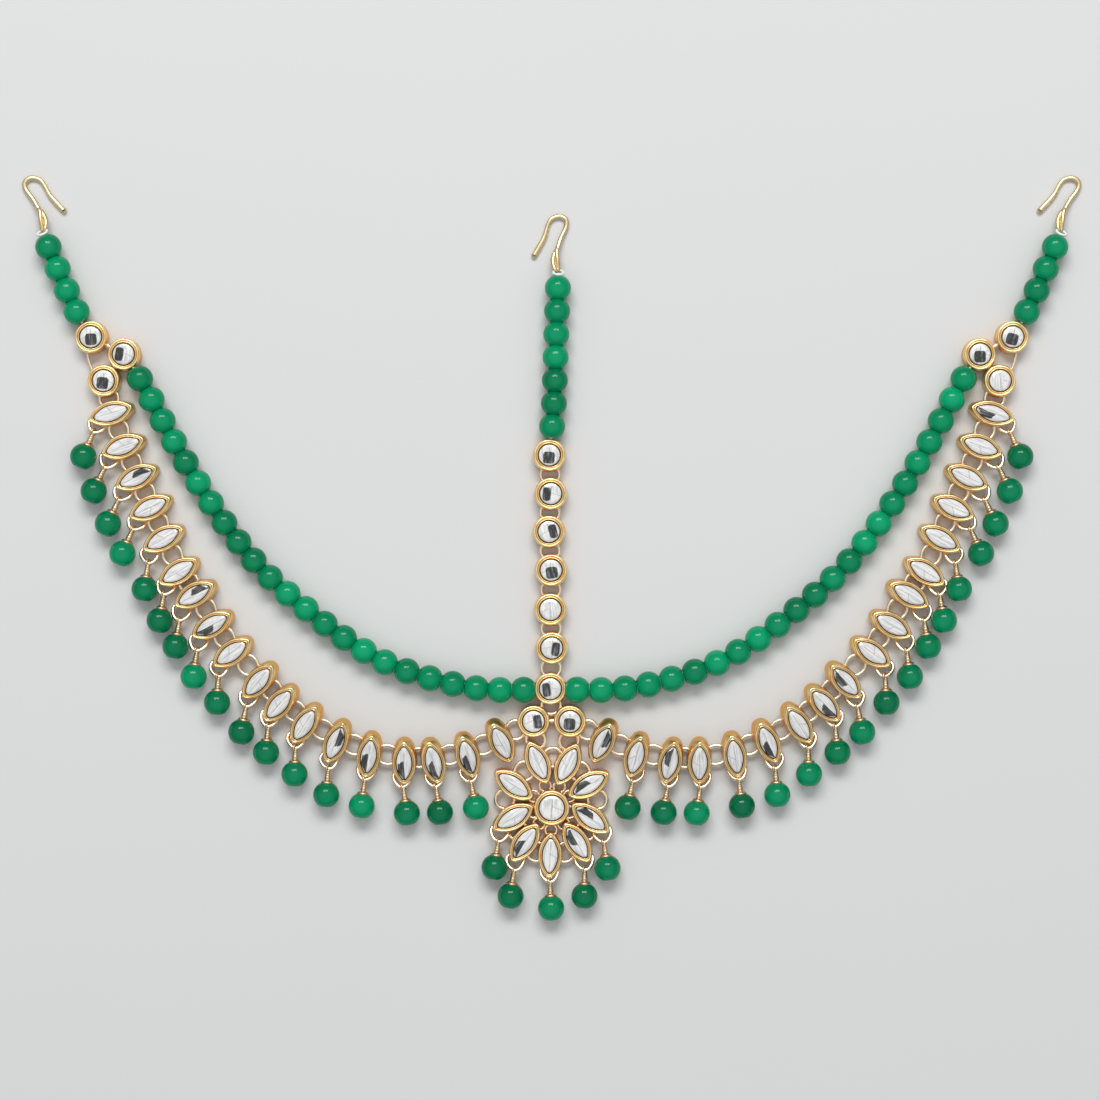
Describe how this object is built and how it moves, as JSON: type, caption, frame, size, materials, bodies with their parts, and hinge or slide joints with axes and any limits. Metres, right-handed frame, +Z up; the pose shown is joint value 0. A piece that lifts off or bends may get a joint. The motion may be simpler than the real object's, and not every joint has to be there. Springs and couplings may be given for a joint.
{
  "type": "matha patti head jewel",
  "caption": "Head jewel laid flat: bead strings with wire hooks, curved bands of stone settings with bead drops, a centre chain and a flower pendant.",
  "frame": {"origin": "middle of the underside of the jewel as it lies, on the surface it rests on", "axes": "+X across from the left hook to the right hook, +Y along the centre strand from the flower pendant to the hooks, +Z up off the surface, towards the stones' faces"},
  "size_m": [0.2402, 0.1685, 0.0068],
  "materials": {
    "gold": "gold-plated satin settings holding foil-backed clear stones",
    "pale_gold": "pale gold-plated wire",
    "green_glass": "polished translucent green beads"
  },
  "bodies": {
    "root": {"band_left": "gold", "band_right": "gold", "beads_centre": "green_glass", "beads_left": "green_glass", "beads_left_end": "green_glass", "beads_right": "green_glass", "beads_right_end": "green_glass", "chain_centre": "gold", "drop_flower_1": "green_glass", "drop_flower_2": "green_glass", "drop_flower_3": "green_glass", "drop_flower_4": "green_glass", "drop_flower_5": "green_glass", "drop_left_01": "green_glass", "drop_left_02": "green_glass", "drop_left_03": "green_glass", "drop_left_04": "green_glass", "drop_left_05": "green_glass", "drop_left_06": "green_glass", "drop_left_07": "green_glass", "drop_left_08": "green_glass", "drop_left_09": "green_glass", "drop_left_10": "green_glass", "drop_left_11": "green_glass", "drop_left_12": "green_glass", "drop_left_13": "green_glass", "drop_left_14": "green_glass", "drop_left_15": "green_glass", "drop_left_16": "green_glass", "drop_left_17": "green_glass", "drop_right_01": "green_glass", "drop_right_02": "green_glass", "drop_right_03": "green_glass", "drop_right_04": "green_glass", "drop_right_05": "green_glass", "drop_right_06": "green_glass", "drop_right_07": "green_glass", "drop_right_08": "green_glass", "drop_right_09": "green_glass", "drop_right_10": "green_glass", "drop_right_11": "green_glass", "drop_right_12": "green_glass", "drop_right_13": "green_glass", "drop_right_14": "green_glass", "drop_right_15": "green_glass", "drop_right_16": "green_glass", "drop_right_17": "green_glass", "flower_pendant": "gold", "hook_centre": "pale_gold", "hook_left": "pale_gold", "hook_right": "pale_gold"}
  },
  "joints": []
}
